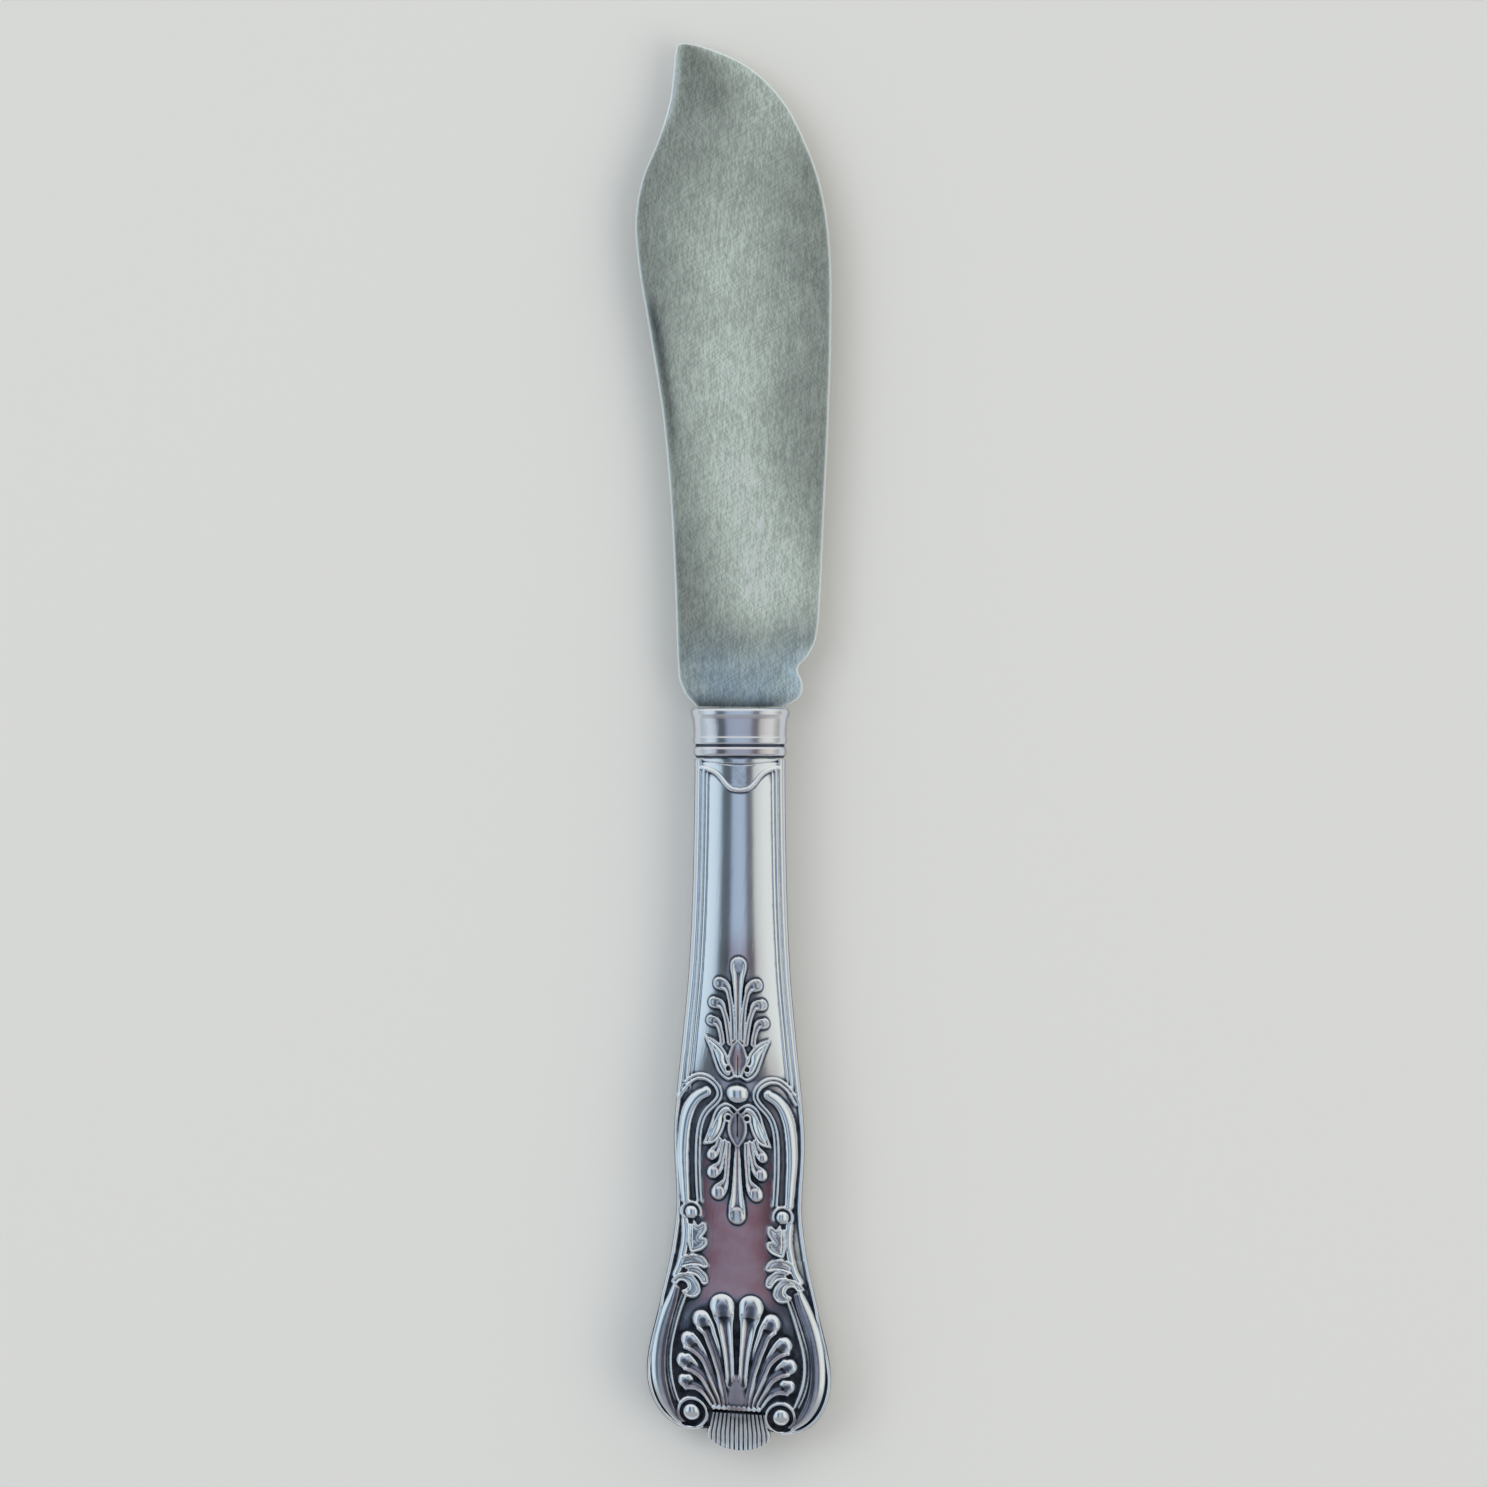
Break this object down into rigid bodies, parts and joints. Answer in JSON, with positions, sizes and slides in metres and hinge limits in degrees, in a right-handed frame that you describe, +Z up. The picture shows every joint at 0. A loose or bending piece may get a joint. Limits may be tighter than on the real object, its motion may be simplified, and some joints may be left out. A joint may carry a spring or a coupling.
{
  "type": "butter knife",
  "caption": "Butter knife with a flat shaped blade, a turned collar and a hollow handle struck with shell, scroll and anthemion ornament.",
  "frame": {"origin": "middle of the footprint, on the surface that the knife lies on", "axes": "+Y along the knife towards the blade's tip, +X towards the cutting edge, +Z up out of the front face"},
  "size_m": [0.0246, 0.175, 0.0092],
  "materials": {
    "blade_silver": "worn satin silver with fine scratches",
    "collar_silver": "polished silver, lightly tarnished",
    "handle_silver": "polished silver with dark tarnish in the hollows",
    "solder": "dressed silver solder",
    "pitch": "dull cast pitch"
  },
  "bodies": {
    "root": {"blade": "blade_silver", "collar": "collar_silver", "front_shell": "handle_silver", "back_shell": "handle_silver", "seam_solder": "solder", "filling": "pitch"}
  },
  "joints": []
}
